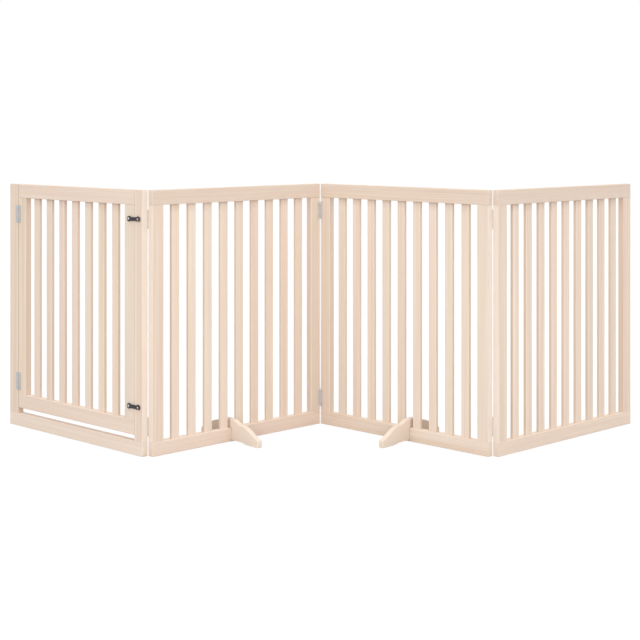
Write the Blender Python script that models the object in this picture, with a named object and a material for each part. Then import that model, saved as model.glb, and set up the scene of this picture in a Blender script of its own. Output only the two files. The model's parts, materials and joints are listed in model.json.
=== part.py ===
"""A freestanding zigzag pet gate: four slatted softwood panels, hinged together.

Metres, +Z up, and the front of the gate faces -Y. The floor is z = 0 and the
origin is under the middle of the gate. Panel 1, at the left, is a frame that
holds a swinging door; panels 2 to 4 are fixed slatted panels. Each panel is
modelled in the frame of an empty that stands on a hinge axis: x runs along the
panel, y through its thickness towards the back.
"""

import math

import bmesh
import bpy
from mathutils import Matrix, Vector

# Panels
PANEL_WIDTH = 0.600
PANEL_HEIGHT = 0.700
BOARD = 0.018
PANEL_ANGLE = math.radians(43.0)  # between each panel and the gate's length
PANEL_GAP = 0.0008  # between the ends of two hinged panels
STILE_WIDTH = 0.036
TOP_RAIL_HEIGHT = 0.040
BOTTOM_RAIL_HEIGHT = 0.0375
EDGE_RADIUS = 0.0018
EDGE_STEPS = 2
FIT = 0.0003  # gap left between pieces that touch
OVERLAP = 0.0001  # how far shapes that are fused run into each other's faces
OVERCUT = 0.001  # how far a cutting shape stands out of what it cuts

# Slats
SLAT_WIDTH = 0.0255
SLAT_DEPTH = 0.009
SLAT_RADIUS = 0.0014
SLAT_TENON = 0.008  # how far a slat goes into a rail
PANEL_SLATS = 9
DOOR_SLATS = 7
FILLET_HEIGHT = 0.006  # strip that fills a rail's groove between two slats
FILLET_INSET = 0.0013  # from a slat's end to the strip

# Door
LEFT_POST_WIDTH = 0.0415
RIGHT_POST_WIDTH = 0.033
LATCH_STILE_WIDTH = 0.0395
HINGE_CLEARANCE = 0.002  # between the left post and the door
LATCH_CLEARANCE = 0.001  # between the door and the right post
DOOR_BOTTOM = 0.053
DOOR_RAIL_HEIGHT = 0.040

# Hinges
HINGE_OFFSET = 0.0011  # from the wood to the pin's axis
HINGE_HEIGHT = 0.050
PANEL_LEAF_REACH = 0.0095  # from the pin's axis to the leaf's free edge
DOOR_LEAF_REACH = 0.0115
LEAF_THICKNESS = 0.0008
KNUCKLE_RADIUS = 0.0015
KNUCKLE_GAP = 0.0004
KNUCKLE_SIDES = 12
TAB_START = 0.0004  # from the pin's axis to the tab that carries a knuckle
PIN_RADIUS = 0.0007
PIN_BORE = 0.0010
PIN_HEAD_RADIUS = 0.0012
PIN_HEAD_HEIGHT = 0.0006
PANEL_HINGE_HEIGHTS = {"upper": 0.623, "lower": 0.077}  # each hinge's middle
DOOR_HINGE_HEIGHTS = {"upper": 0.6135, "lower": 0.1295}

# Latches
LATCH_HEIGHTS = {"upper": 0.623, "lower": 0.128}
LATCH_SPAN = 0.037  # between the centres of its two rings
LATCH_RING_RADIUS = 0.0074
LATCH_BAR_HEIGHT = 0.0100
LATCH_THICKNESS = 0.003
LATCH_STANDOFF = 0.001
LATCH_HOLE_RADIUS = 0.0029
LATCH_MOUTH_FLARE = 0.0007
LATCH_SIDES = 24
SCREW_HEAD_RADIUS = 0.0046
SCREW_HEAD_HEIGHT = 0.0018
SCREW_SHOULDER_RADIUS = 0.0025
STUD_RADIUS = 0.0026
STUD_PROUD = 0.0012  # how far the catch stud stands out of the latch
SHANK_RADIUS = 0.0017
PILOT_RADIUS = 0.0021
PILOT_DEPTH = 0.012
SCREW_SIDES = 16

# Feet
FOOT_THICKNESS = 0.0155
FOOT_HEIGHT = 0.0615
FOOT_REACH = 0.1135  # beyond each face of the rail
FOOT_TOP_HALF = 0.016  # half the flat top, from the middle of the panel
FOOT_WAIST = (0.048, 0.0505)  # where the short fall of the upper edge ends and the long one starts
FOOT_LONG_FALL_END = (0.138, 0.0170)  # beyond the tip, which cuts the long fall short
FOOT_TIP_HEIGHT = 0.0212
FOOT_TIP_RADIUS = 0.004
FOOT_PAD_LENGTH = 0.042  # flat part of the underside, at each tip
FOOT_ARCH = 0.0045
FOOT_ARCH_FLAT = 0.038  # how far the arch stays level beside the rail
FOOT_NOTCH_CLEARANCE = 0.0005  # each side of the rail, and above it
FOOT_EDGE_RADIUS = 0.0015
FOOT_GAP_FROM_CENTRE = 5  # slats between a foot and the middle of the gate
CURVE_STEPS = 5

WOOD = (0.80, 0.68, 0.56)
STEEL = (0.46, 0.47, 0.48)
BLACK_METAL = (0.03, 0.03, 0.033)
BRIGHT_STEEL = (0.62, 0.62, 0.63)


def clear_scene():
    for obj in list(bpy.data.objects):
        bpy.data.objects.remove(obj, do_unlink=True)


def add_material(obj, colour, roughness, metallic):
    material = bpy.data.materials.new(obj.name)
    material.use_nodes = True
    shader = material.node_tree.nodes["Principled BSDF"]
    shader.inputs["Base Color"].default_value = (*colour, 1.0)
    shader.inputs["Roughness"].default_value = roughness
    shader.inputs["Metallic"].default_value = metallic
    obj.data.materials.clear()
    obj.data.materials.append(material)


def wooden(obj):
    add_material(obj, WOOD, 0.55, 0.0)
    return obj


def metal(obj, colour=STEEL, roughness=0.35):
    add_material(obj, colour, roughness, 1.0)
    return obj


def axis_empty(name, location, angle=0.0, parent=None):
    empty = bpy.data.objects.new(name, None)
    bpy.context.scene.collection.objects.link(empty)
    empty.parent = parent
    empty.location = location
    empty.rotation_euler = (0.0, 0.0, angle)
    return empty


def place(name, mesh, parent, location=(0.0, 0.0, 0.0), turn=0.0):
    obj = bpy.data.objects.new(name, mesh)
    bpy.context.scene.collection.objects.link(obj)
    obj.parent = parent
    obj.location = location
    obj.rotation_euler = (0.0, 0.0, turn)
    return obj


# Meshes -----------------------------------------------------------------


def arc(centre, radius, start, end, steps):
    """Points on an arc, from one angle to another, in degrees."""
    angles = [math.radians(start + (end - start) * i / steps) for i in range(steps + 1)]
    return [(centre[0] + radius * math.cos(a), centre[1] + radius * math.sin(a)) for a in angles]


def rounded_rectangle(width, depth, radius, steps=EDGE_STEPS):
    points = []
    for quarter, (sx, sy) in enumerate(((1, 1), (-1, 1), (-1, -1), (1, -1))):
        centre = (sx * (width / 2 - radius), sy * (depth / 2 - radius))
        points += arc(centre, radius, 90 * quarter, 90 * quarter + 90, steps)
    return points


def circle(radius, sides, centre=(0.0, 0.0)):
    return arc(centre, radius, 0, 360, sides)[:-1]


def prism(outline, length, turn=None):
    """A closed mesh: the outline in XY, extruded both ways along Z, then turned."""
    bm = bmesh.new()
    face = bm.faces.new([bm.verts.new((x, y, -length / 2)) for x, y in outline])
    extruded = bmesh.ops.extrude_face_region(bm, geom=[face])
    top = [v for v in extruded["geom"] if isinstance(v, bmesh.types.BMVert)]
    bmesh.ops.translate(bm, verts=top, vec=(0.0, 0.0, length))
    if turn is not None:
        bmesh.ops.transform(bm, matrix=turn, verts=bm.verts)
    bmesh.ops.recalc_face_normals(bm, faces=bm.faces)
    return bm


def to_mesh(bm, name, smooth=False):
    mesh = bpy.data.meshes.new(name)
    bm.to_mesh(mesh)
    bm.free()
    if smooth:
        mesh.shade_smooth()
        mesh.set_sharp_from_angle(angle=math.radians(35))
    return mesh


def moved(bm, offset):
    bmesh.ops.translate(bm, verts=bm.verts, vec=offset)
    return bm


def box(low, high):
    size = Vector(high) - Vector(low)
    bm = bmesh.new()
    bmesh.ops.create_cube(bm, size=1.0)
    bmesh.ops.scale(bm, verts=bm.verts, vec=size)
    return moved(bm, (Vector(high) + Vector(low)) / 2)


def combine(name, base, joined=(), cut=(), smooth=False):
    """One mesh: the base with the joined shapes fused on, and the cut shapes taken out."""
    shapes = [("UNION", bm) for bm in joined] + [("DIFFERENCE", bm) for bm in cut]
    obj = place(name, to_mesh(base, name), None)
    helpers = []
    for operation, bm in shapes:
        helper = place(name + "_tool", to_mesh(bm, name + "_tool"), None)
        modifier = obj.modifiers.new(operation.lower(), "BOOLEAN")
        modifier.operation = operation
        modifier.object = helper
        helpers.append(helper)
    graph = bpy.context.evaluated_depsgraph_get()
    mesh = bpy.data.meshes.new_from_object(obj.evaluated_get(graph))
    for helper in [*helpers, obj]:
        bpy.data.objects.remove(helper, do_unlink=True)
    mesh.name = name
    if smooth:
        mesh.shade_smooth()
        mesh.set_sharp_from_angle(angle=math.radians(35))
    return mesh


LAY_ALONG_X = Matrix.Rotation(math.radians(90), 4, "Y")
STAND_IN_XZ = Matrix.Rotation(math.radians(90), 4, "X")


def lying_board(length, height, depth=BOARD, radius=EDGE_RADIUS):
    return prism(rounded_rectangle(height, depth, radius), length, LAY_ALONG_X)


def standing_board(height, width, depth=BOARD, radius=EDGE_RADIUS):
    return prism(rounded_rectangle(width, depth, radius), height)


# Slatted frames ---------------------------------------------------------


def slat_centres(inner_low, inner_high, count):
    gap = (inner_high - inner_low - count * SLAT_WIDTH) / (count + 1)
    return [inner_low + gap + SLAT_WIDTH / 2 + i * (SLAT_WIDTH + gap) for i in range(count)]


def rail(name, parent, x_range, y_middle, z_range, cuts=()):
    """A board along x. Cuts are (low, high) boxes in the parent's frame."""
    centre = Vector((sum(x_range) / 2, y_middle, sum(z_range) / 2))
    base = lying_board(x_range[1] - x_range[0], z_range[1] - z_range[0])
    tools = [box(Vector(low) - centre, Vector(high) - centre) for low, high in cuts]
    return wooden(place(name, combine(name, base, cut=tools), parent, centre))


def stile(name, parent, x_range, y_middle, z_range, pilot_holes=()):
    """A board along z. Pilot holes are (x, z) places on its front face."""
    centre = Vector((sum(x_range) / 2, y_middle, sum(z_range) / 2))
    base = standing_board(z_range[1] - z_range[0], x_range[1] - x_range[0])
    front = y_middle - BOARD / 2
    tools = []
    for x, z in pilot_holes:
        hole = prism(circle(PILOT_RADIUS, SCREW_SIDES), 2 * PILOT_DEPTH, STAND_IN_XZ)
        tools.append(moved(hole, Vector((x, front, z)) - centre))
    return wooden(place(name, combine(name, base, cut=tools), parent, centre))


def sunk_slots(face_z, into, spans, y_middle):
    """Cuts for the slats' ends, from a rail's slat face. Into is +1 for up, -1 for down."""
    half = SLAT_DEPTH / 2 + FIT
    z_low, z_high = sorted((face_z - into * OVERCUT, face_z + into * (SLAT_TENON + FIT)))
    return [((low, y_middle - half, z_low), (high, y_middle + half, z_high)) for low, high in spans]


def fixed_panel(name, parent, x_low, y_middle):
    """A full panel: two grooved rails, two stiles between them, and nine slats."""
    x_high = x_low + PANEL_WIDTH
    inner = (x_low + STILE_WIDTH, x_high - STILE_WIDTH)
    top_face = PANEL_HEIGHT - TOP_RAIL_HEIGHT
    groove = (inner[0] + SLAT_WIDTH / 2, inner[1] - SLAT_WIDTH / 2)
    for part, z_range, face_z, into in (
        ("bottom_rail", (0.0, BOTTOM_RAIL_HEIGHT), BOTTOM_RAIL_HEIGHT, -1),
        ("top_rail", (top_face, PANEL_HEIGHT), top_face, 1),
    ):
        cuts = sunk_slots(face_z, into, [groove], y_middle)
        rail(f"{name}_{part}", parent, (x_low, x_high), y_middle, z_range, cuts)
    stile_z = (BOTTOM_RAIL_HEIGHT + FIT, top_face - FIT)
    stile(f"{name}_stile_left", parent, (x_low, inner[0]), y_middle, stile_z)
    stile(f"{name}_stile_right", parent, (inner[1], x_high), y_middle, stile_z)
    slat_set(f"{name}_slats", parent, inner, groove, y_middle)
    return slat_centres(*inner, PANEL_SLATS)


def slat_set(name, parent, inner, groove, y_middle):
    """Nine slats, fused by the fillet strips that fill the rails' grooves between them."""
    z_low = BOTTOM_RAIL_HEIGHT - SLAT_TENON
    z_high = PANEL_HEIGHT - TOP_RAIL_HEIGHT + SLAT_TENON
    centre = Vector((sum(inner) / 2, y_middle, (z_low + z_high) / 2))
    centres = slat_centres(*inner, PANEL_SLATS)
    slats = []
    for x in centres:
        slat = standing_board(z_high - z_low, SLAT_WIDTH, SLAT_DEPTH, SLAT_RADIUS)
        slats.append(moved(slat, (x - centre.x, 0.0, 0.0)))
    fillets = []
    y_half = SLAT_DEPTH / 2 - SLAT_RADIUS
    for z in (z_low + FILLET_INSET, z_high - FILLET_INSET - FILLET_HEIGHT):
        low = Vector((groove[0] + FIT, y_middle - y_half, z)) - centre
        high = Vector((groove[1] - FIT, y_middle + y_half, z + FILLET_HEIGHT)) - centre
        fillets.append(box(low, high))
    mesh = combine(name, slats[0], joined=slats[1:] + fillets)
    return wooden(place(name, mesh, parent, centre))


def door(parent, x_range, y_middle):
    """The door: rails over the whole width, stiles between them, and seven slats."""
    inner = (x_range[0] + STILE_WIDTH, x_range[1] - LATCH_STILE_WIDTH)
    bottom = (DOOR_BOTTOM, DOOR_BOTTOM + DOOR_RAIL_HEIGHT)
    top = (PANEL_HEIGHT - TOP_RAIL_HEIGHT, PANEL_HEIGHT)
    centres = slat_centres(*inner, DOOR_SLATS)
    half = SLAT_WIDTH / 2 + FIT
    spans = [(x - half, x + half) for x in centres]
    bottom_mortises = sunk_slots(bottom[1], -1, spans, y_middle)
    top_mortises = sunk_slots(top[0], 1, spans, y_middle)
    rail("door_bottom_rail", parent, x_range, y_middle, bottom, bottom_mortises)
    rail("door_top_rail", parent, x_range, y_middle, top, top_mortises)
    stile_z = (bottom[1] + FIT, top[0] - FIT)
    pivot_x = x_range[1] + LATCH_CLEARANCE / 2 - LATCH_SPAN / 2
    pivots = [(pivot_x, z) for z in LATCH_HEIGHTS.values()]
    stile("door_hinge_stile", parent, (x_range[0], inner[0]), y_middle, stile_z)
    stile("door_latch_stile", parent, (inner[1], x_range[1]), y_middle, stile_z, pivots)
    z_low = bottom[1] - SLAT_TENON
    z_high = top[0] + SLAT_TENON
    for number, x in enumerate(centres, 1):
        name = f"door_slat_{number}"
        mesh = to_mesh(standing_board(z_high - z_low, SLAT_WIDTH, SLAT_DEPTH, SLAT_RADIUS), name)
        wooden(place(name, mesh, parent, (x, y_middle, (z_low + z_high) / 2)))


def door_frame(parent, x_low, y_middle):
    """Panel 1's fixed part: a post on each side, standing on a full-width bottom rail."""
    x_high = x_low + PANEL_WIDTH
    post_z = (BOTTOM_RAIL_HEIGHT + FIT, PANEL_HEIGHT)
    catch_x = x_high - RIGHT_POST_WIDTH - LATCH_CLEARANCE / 2 + LATCH_SPAN / 2
    catches = [(catch_x, z) for z in LATCH_HEIGHTS.values()]
    rail("frame_bottom_rail", parent, (x_low, x_high), y_middle, (0.0, BOTTOM_RAIL_HEIGHT))
    stile("frame_post_left", parent, (x_low, x_low + LEFT_POST_WIDTH), y_middle, post_z)
    stile("frame_post_right", parent, (x_high - RIGHT_POST_WIDTH, x_high), y_middle, post_z, catches)


# Hinges -----------------------------------------------------------------


def knuckle_spans():
    height = (HINGE_HEIGHT - 2 * KNUCKLE_GAP) / 3
    lows = [-HINGE_HEIGHT / 2 + i * (height + KNUCKLE_GAP) for i in range(3)]
    return [(low, low + height) for low in lows]


def upright_cylinder(radius, z_low, z_high, sides=KNUCKLE_SIDES):
    return moved(prism(circle(radius, sides), z_high - z_low), (0.0, 0.0, (z_low + z_high) / 2))


def leaf_plate(side, reach):
    """The flat plate on the wood, clear of the other leaf's knuckles. Side is +1 or -1."""
    y_back = HINGE_OFFSET - FIT
    x_low, x_high = sorted((side * (KNUCKLE_RADIUS + KNUCKLE_GAP), side * reach))
    low = (x_low, y_back - LEAF_THICKNESS, -HINGE_HEIGHT / 2)
    return box(low, (x_high, y_back, HINGE_HEIGHT / 2))


def leaf_tab(side, span):
    """Joins the plate to one of its own knuckles."""
    y_back = HINGE_OFFSET - FIT - OVERLAP
    y_front = HINGE_OFFSET - FIT - LEAF_THICKNESS + OVERLAP
    x_low, x_high = sorted((side * TAB_START, side * (KNUCKLE_RADIUS + 2 * KNUCKLE_GAP)))
    return box((x_low, y_front, span[0] + OVERLAP), (x_high, y_back, span[1] - OVERLAP))


def pin_leaf_mesh(reach):
    """The leaf on the +x side: two solid end knuckles that hold the pin."""
    lower, _, upper = knuckle_spans()
    shapes = []
    for span in (lower, upper):
        shapes += [leaf_tab(1, span), upright_cylinder(KNUCKLE_RADIUS, *span)]
    top = HINGE_HEIGHT / 2
    shapes.append(upright_cylinder(PIN_RADIUS, lower[0] + OVERCUT, upper[1] - OVERCUT))
    for sign in (1, -1):
        ends = sorted((sign * (top - OVERCUT), sign * (top + PIN_HEAD_HEIGHT)))
        shapes.append(upright_cylinder(PIN_HEAD_RADIUS, *ends))
    return combine("pin_leaf", leaf_plate(1, reach), joined=shapes, smooth=True)


def bored_leaf_mesh(reach):
    """The leaf on the -x side: one middle knuckle, bored for the pin."""
    middle = knuckle_spans()[1]
    bore = upright_cylinder(PIN_BORE, middle[0] - OVERCUT, middle[1] + OVERCUT)
    shapes = [leaf_tab(-1, middle), upright_cylinder(KNUCKLE_RADIUS, *middle)]
    return combine("bored_leaf", leaf_plate(-1, reach), joined=shapes, cut=[bore], smooth=True)


def hinge_pair(name, heights, pin_side, bored_side, reach):
    """Two hinges on one axis. Each side is (parent, the axis in its frame, turn)."""
    meshes = (pin_leaf_mesh(reach), bored_leaf_mesh(reach))
    for level, z in heights.items():
        for suffix, (parent, axis, turn), mesh in (
            ("pin_leaf", pin_side, meshes[0]),
            ("leaf", bored_side, meshes[1]),
        ):
            piece = place(f"{name}_{level}_{suffix}", mesh.copy(), parent, (*axis, z), turn)
            metal(piece)


# Latches ----------------------------------------------------------------


def latch_outline():
    """A bar with a ring at each end. The right one is a hook, open below."""
    ring = LATCH_RING_RADIUS
    hole = LATCH_HOLE_RADIUS
    mouth = hole + LATCH_MOUTH_FLARE
    neck = math.degrees(math.asin(LATCH_BAR_HEIGHT / 2 / ring))
    mouth_left = 270 - math.degrees(math.asin(mouth / ring))
    mouth_right = 270 + math.degrees(math.asin(hole / ring))
    catch = (LATCH_SPAN, 0.0)
    points = arc((0.0, 0.0), ring, neck, 360 - neck, LATCH_SIDES - 6)
    points += arc(catch, ring, 180 + neck, mouth_left, 2)
    points += arc(catch, hole, 180, 0, LATCH_SIDES // 3)
    points += arc(catch, ring, mouth_right, 540 - neck, LATCH_SIDES - 8)
    return points


def latch(level, z, door_parent, joint_x, front):
    """A latch bar, the screw that it turns on and the stud that it drops over."""
    pivot_x = joint_x - LATCH_SPAN / 2
    middle_y = front - LATCH_STANDOFF - LATCH_THICKNESS / 2
    hole = prism(circle(LATCH_HOLE_RADIUS, SCREW_SIDES), 2 * LATCH_THICKNESS, STAND_IN_XZ)
    bar = prism(latch_outline(), LATCH_THICKNESS, STAND_IN_XZ)
    name = f"latch_{level}_bar"
    pivot = axis_empty(f"latch_{level}_axis", (pivot_x, front, z), parent=door_parent)
    mesh = combine(name, bar, cut=[hole], smooth=True)
    metal(place(name, mesh, pivot, (0.0, middle_y - front, 0.0)), BLACK_METAL, 0.45)
    screw = place(f"latch_{level}_pivot_screw", pivot_screw_mesh(), door_parent, (pivot_x, front, z))
    stud = place(
        f"latch_{level}_catch_stud",
        catch_stud_mesh(),
        door_parent.parent,
        Vector((joint_x + LATCH_SPAN / 2, front, z)) + door_parent.location,
    )
    for piece in (screw, stud):
        metal(piece, BRIGHT_STEEL, 0.3)


def turned(name, profile):
    """A turned piece along -y from (distance out of the wood, radius) pairs."""
    bm = bmesh.new()
    verts = [bm.verts.new((0.0, -out, radius)) for out, radius in profile]
    edges = [bm.edges.new(pair) for pair in zip(verts, verts[1:])]
    bmesh.ops.spin(
        bm,
        geom=verts + edges,
        cent=(0.0, 0.0, 0.0),
        axis=(0.0, 1.0, 0.0),
        angle=math.tau,
        steps=SCREW_SIDES,
        use_merge=True,
    )
    bmesh.ops.remove_doubles(bm, verts=bm.verts, dist=1e-6)
    bmesh.ops.recalc_face_normals(bm, faces=bm.faces)
    return to_mesh(bm, name, smooth=True)


def pivot_screw_mesh():
    head = LATCH_STANDOFF + LATCH_THICKNESS + FIT
    top = head + SCREW_HEAD_HEIGHT
    profile = [
        (-PILOT_DEPTH + 2 * FIT, 0.0),
        (-PILOT_DEPTH + SHANK_RADIUS, SHANK_RADIUS),
        (FIT, SHANK_RADIUS),
        (FIT, SCREW_SHOULDER_RADIUS),
        (head, SCREW_SHOULDER_RADIUS),
        (head, SCREW_HEAD_RADIUS),
        (head + SCREW_HEAD_HEIGHT / 3, SCREW_HEAD_RADIUS),
        (top - SCREW_HEAD_HEIGHT / 6, SCREW_HEAD_RADIUS * 0.6),
        (top, 0.0),
    ]
    return turned("pivot_screw", profile)


def catch_stud_mesh():
    top = LATCH_STANDOFF + LATCH_THICKNESS + STUD_PROUD
    profile = [
        (-PILOT_DEPTH + 2 * FIT, 0.0),
        (-PILOT_DEPTH + SHANK_RADIUS, SHANK_RADIUS),
        (FIT, SHANK_RADIUS),
        (FIT, STUD_RADIUS),
        (top - STUD_PROUD / 2, STUD_RADIUS),
        (top, STUD_RADIUS * 0.5),
        (top, 0.0),
    ]
    return turned("catch_stud", profile)


# Feet -------------------------------------------------------------------


def s_curve(start, end, steps):
    """A smooth fall from one height to another, level at both ends, without its first point."""
    points = []
    for i in range(1, steps + 1):
        share = i / steps
        ease = (1 - math.cos(math.pi * share)) / 2
        points.append((start[0] + (end[0] - start[0]) * share, start[1] + (end[1] - start[1]) * ease))
    return points


def foot_upper_edge():
    """The front half's upper edge, from the end of the flat top to just short of the tip."""
    top = (FOOT_TOP_HALF, FOOT_HEIGHT)
    edge = [top] + s_curve(top, FOOT_WAIST, CURVE_STEPS)
    edge += s_curve(FOOT_WAIST, FOOT_LONG_FALL_END, 2 * CURVE_STEPS)
    return [point for point in edge if point[0] < BOARD / 2 + FOOT_REACH - FOOT_TIP_RADIUS]


def foot_half_outline():
    """The half in front of the panel, from the notch's top round to the flat top."""
    half_notch = BOARD / 2 + FOOT_NOTCH_CLEARANCE
    notch_top = BOTTOM_RAIL_HEIGHT + FOOT_NOTCH_CLEARANCE
    tip = BOARD / 2 + FOOT_REACH
    pad = tip - FOOT_PAD_LENGTH
    radius = FOOT_TIP_RADIUS
    points = [(half_notch, notch_top), (half_notch, FOOT_ARCH)]
    points += s_curve((half_notch + FOOT_ARCH_FLAT, FOOT_ARCH), (pad, 0.0), CURVE_STEPS)
    points += arc((tip - radius / 2, radius / 2), radius / 2, -90, 0, 3)
    points += arc((tip - radius, FOOT_TIP_HEIGHT - radius), radius, 0, 60, 3)
    return points + foot_upper_edge()[::-1]


def foot(name, parent, x_middle, y_middle):
    """One board across the panel, notched to sit over the bottom rail."""
    front = foot_half_outline()
    outline = front + [(-x, z) for x, z in reversed(front)]
    bm = prism(outline, FOOT_THICKNESS, STAND_IN_XZ)
    bmesh.ops.rotate(bm, verts=bm.verts, matrix=Matrix.Rotation(math.radians(-90), 3, "Z"))
    bmesh.ops.recalc_face_normals(bm, faces=bm.faces)
    sides = [f for f in bm.faces if abs(f.normal.x) > 0.9]
    rims = {edge for face in sides for edge in face.edges}
    bmesh.ops.bevel(
        bm,
        geom=list(rims),
        offset=FOOT_EDGE_RADIUS,
        segments=1,
        affect="EDGES",
        clamp_overlap=True,
    )
    return wooden(place(name, to_mesh(bm, name), parent, (x_middle, y_middle, 0.0)))


# The gate ---------------------------------------------------------------


def main():
    clear_scene()
    cos, sin = math.cos(PANEL_ANGLE), math.sin(PANEL_ANGLE)
    reach = PANEL_WIDTH + PANEL_GAP
    across = BOARD + 2 * HINGE_OFFSET
    nearest = -(PANEL_GAP / 2 + PANEL_WIDTH) * sin + HINGE_OFFSET * cos
    furthest = -PANEL_GAP / 2 * sin + (HINGE_OFFSET + BOARD) * cos
    centre_y = -(nearest + furthest) / 2
    corner_x = reach * cos + across * sin
    corner_y = centre_y - reach * sin + across * cos

    # Panels 2 and 3 hang on the middle axis, and panels 1 and 4 on the near corners' axes.
    panel_2 = axis_empty("panel_2_axis", (0.0, centre_y, 0.0), PANEL_ANGLE)
    panel_3 = axis_empty("panel_3_axis", (0.0, centre_y, 0.0), -PANEL_ANGLE)
    panel_1 = axis_empty("panel_1_axis", (-corner_x, corner_y, 0.0), -PANEL_ANGLE)
    panel_4 = axis_empty("panel_4_axis", (corner_x, corner_y, 0.0), PANEL_ANGLE)
    after_axis = PANEL_GAP / 2
    before_axis = -PANEL_GAP / 2 - PANEL_WIDTH
    behind = HINGE_OFFSET + BOARD / 2

    slats_2 = fixed_panel("panel_2", panel_2, before_axis, behind)
    slats_3 = fixed_panel("panel_3", panel_3, after_axis, behind)
    fixed_panel("panel_4", panel_4, after_axis, -behind)
    door_frame(panel_1, before_axis, -behind)

    front = -behind - BOARD / 2
    door_axis_x = before_axis + LEFT_POST_WIDTH + HINGE_CLEARANCE / 2
    door_axis = axis_empty("door_axis", (door_axis_x, front - HINGE_OFFSET, 0.0), parent=panel_1)
    door_width = PANEL_WIDTH - LEFT_POST_WIDTH - RIGHT_POST_WIDTH - HINGE_CLEARANCE - LATCH_CLEARANCE
    door_low = HINGE_CLEARANCE / 2
    door(door_axis, (door_low, door_low + door_width), behind)
    joint_x = door_low + door_width + LATCH_CLEARANCE / 2
    for level, z in LATCH_HEIGHTS.items():
        latch(level, z, door_axis, joint_x, HINGE_OFFSET)

    turned_round = math.pi
    middle = (0.0, 0.0)
    corner = (reach, across)
    leaf = PANEL_LEAF_REACH
    hinge_pair("hinge_12", PANEL_HINGE_HEIGHTS, (panel_1, middle, turned_round),
               (panel_2, (-corner[0], corner[1]), turned_round), leaf)
    hinge_pair("hinge_23", PANEL_HINGE_HEIGHTS, (panel_3, middle, 0.0), (panel_2, middle, 0.0), leaf)
    hinge_pair("hinge_34", PANEL_HINGE_HEIGHTS, (panel_3, corner, turned_round),
               (panel_4, middle, turned_round), leaf)
    post_side = (panel_1, tuple(door_axis.location[:2]), 0.0)
    hinge_pair("door_hinge", DOOR_HINGE_HEIGHTS, (door_axis, middle, 0.0), post_side, DOOR_LEAF_REACH)

    before = PANEL_SLATS - FOOT_GAP_FROM_CENTRE
    foot("foot_left", panel_2, (slats_2[before - 1] + slats_2[before]) / 2, behind)
    after = FOOT_GAP_FROM_CENTRE
    foot("foot_right", panel_3, (slats_3[after - 1] + slats_3[after]) / 2, behind)


main()
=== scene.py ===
"""The looks of the folding pet gate: pine boards, zinc hinges and black latches.

Each board is built in its own frame, with u along the grain, v across its width and
w through its thickness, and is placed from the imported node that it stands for.
"""

import json
import math
import random

import bmesh
import bpy
import numpy as np
from mathutils import Matrix, Vector


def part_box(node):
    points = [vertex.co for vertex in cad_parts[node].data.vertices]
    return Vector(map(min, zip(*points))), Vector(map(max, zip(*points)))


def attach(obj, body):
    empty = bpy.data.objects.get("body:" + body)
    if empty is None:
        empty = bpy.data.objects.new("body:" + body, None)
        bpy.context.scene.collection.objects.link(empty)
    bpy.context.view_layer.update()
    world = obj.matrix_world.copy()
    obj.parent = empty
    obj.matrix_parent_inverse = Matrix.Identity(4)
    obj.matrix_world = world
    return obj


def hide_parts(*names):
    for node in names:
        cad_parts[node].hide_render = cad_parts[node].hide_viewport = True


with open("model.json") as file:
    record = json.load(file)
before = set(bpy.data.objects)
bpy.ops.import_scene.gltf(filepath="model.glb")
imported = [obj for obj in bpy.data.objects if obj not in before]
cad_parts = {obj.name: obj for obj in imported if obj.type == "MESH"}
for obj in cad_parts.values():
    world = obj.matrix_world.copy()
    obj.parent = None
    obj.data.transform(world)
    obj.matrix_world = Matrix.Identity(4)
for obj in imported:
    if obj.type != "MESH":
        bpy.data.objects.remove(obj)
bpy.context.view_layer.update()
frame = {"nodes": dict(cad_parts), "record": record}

# Boards
EDGE_RADIUS = 0.00105  # large enough to keep the corners clear of the hinge knuckles
SLAT_RADIUS = 0.0011
ARC_STEPS = 5
RIM_BAND = 0.0016  # how far the edges' tone, a painted highlight, reaches into the flats beside them
RIM_SHARE = 0.5  # how pale the edges' painted highlight is, where 1 is the painted highlight on the outer side of an upright
END_CHAMFER = 0.0004
SLAT_WIDTH = 0.0255
SLAT_DEPTH = 0.009
SLAT_TENON = 0.0078
MORTISE_FIT = 0.00015
MORTISE_DEPTH = 0.0083
SHADE_NEAR = 0.0040  # below the top rail, where a slat's painted shade has fallen to SHADE_SHARE
SHADE_FAR = 0.0240  # and where it ends
SHADE_SHARE = 0.3
PANEL_SLATS = 9
DOOR_SLATS = 7

# Feet
FOOT_EDGE = 0.0015  # radius
FOOT_TOP_HALF = 0.016
FOOT_WAIST = (0.048, 0.0505)  # distance from the middle of the panel, and height
FOOT_LONG_FALL_END = (0.138, 0.0170)  # the same
FOOT_TIP_HEIGHT = 0.0212
FOOT_TIP_RADIUS = 0.004
FOOT_PAD = 0.042  # length of the part that rests on the floor
FOOT_ARCH = 0.0045  # height of the underside over the floor
FOOT_ARCH_FLAT = 0.038
FOOT_NOTCH_CLEARANCE = 0.0005
FOOT_SHADE = 0.85  # how dark the foot's painted shade is behind its panel, where 1 is the slats' painted shade below the top rail
FOOT_SHADE_PLACES = (-0.0075, -0.0060, 0.0600, 0.1100)  # backwards from the middle of the panel
FOOT_SHADE_SHARES = (0.0, 1.0, 0.85, 0.3)

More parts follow.
